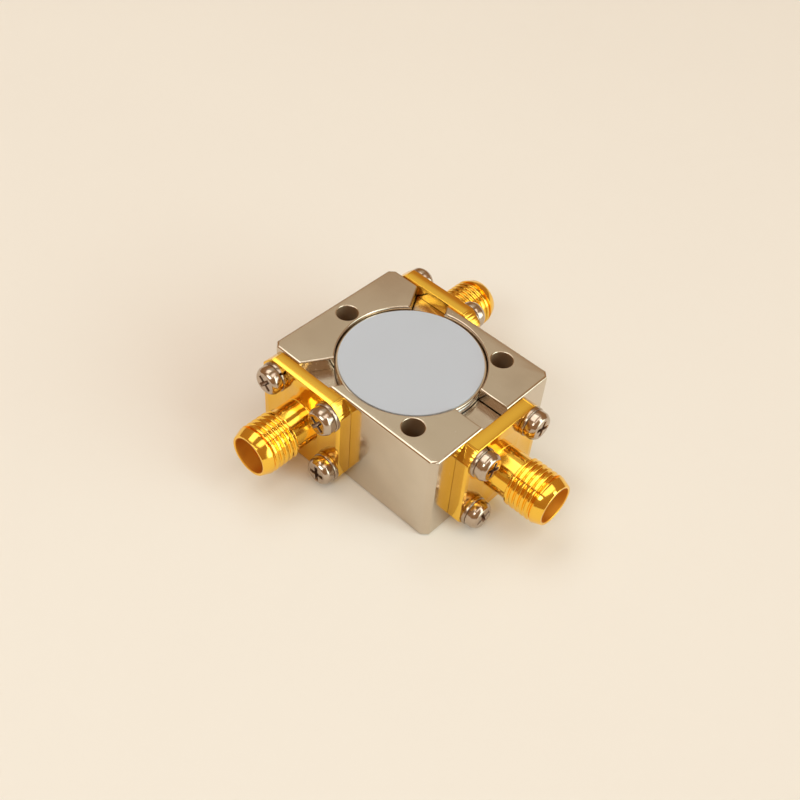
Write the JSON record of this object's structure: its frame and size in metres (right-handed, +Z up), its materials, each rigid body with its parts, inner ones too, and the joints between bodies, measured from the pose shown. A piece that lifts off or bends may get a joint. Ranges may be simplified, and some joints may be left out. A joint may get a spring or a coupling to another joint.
{
  "type": "coaxial circulator",
  "caption": "Small nickel-plated block with a pale round label over its junction and gold-plated flange-mounted coaxial jacks on its sides.",
  "frame": {"origin": "on the base, under the axis of the junction's cavity", "axes": "+X out of the face of port 3, -Y out of the face of port 1, +Y out of the face of port 2, +Z up out of the label"},
  "size_m": [0.0352, 0.0396, 0.0131],
  "materials": {
    "nickel_plate": "fine machined, nickel plated",
    "gold_plate": "turned brass, gold plated",
    "steel": "bright steel",
    "plain_steel": "ground",
    "magnet_alloy": "sintered, dark",
    "ferrite": "lapped",
    "dielectric": "unglazed",
    "silvered": "silver plated",
    "insulator": "natural white",
    "label": "matt"
  },
  "bodies": {
    "root": {"housing": "nickel_plate", "lower_magnet": "magnet_alloy", "lower_pole_plate": "plain_steel", "lower_ferrite": "ferrite", "lower_dielectric_ring": "dielectric", "centre_conductor": "silvered", "upper_ferrite": "ferrite", "upper_dielectric_ring": "dielectric", "upper_pole_plate": "plain_steel", "upper_magnet": "magnet_alloy", "compensation_plate": "plain_steel", "cover_disc": "nickel_plate", "label_disc": "label", "filler_port_1": "nickel_plate", "filler_port_2": "nickel_plate", "filler_port_3": "nickel_plate", "shell_port_1": "gold_plate", "shell_port_2": "gold_plate", "shell_port_3": "gold_plate", "insulator_port_1": "insulator", "insulator_port_2": "insulator", "insulator_port_3": "insulator", "contact_port_1": "gold_plate", "contact_port_2": "gold_plate", "contact_port_3": "gold_plate", "lock_washers": "steel", "flange_screws": "steel"}
  },
  "joints": []
}
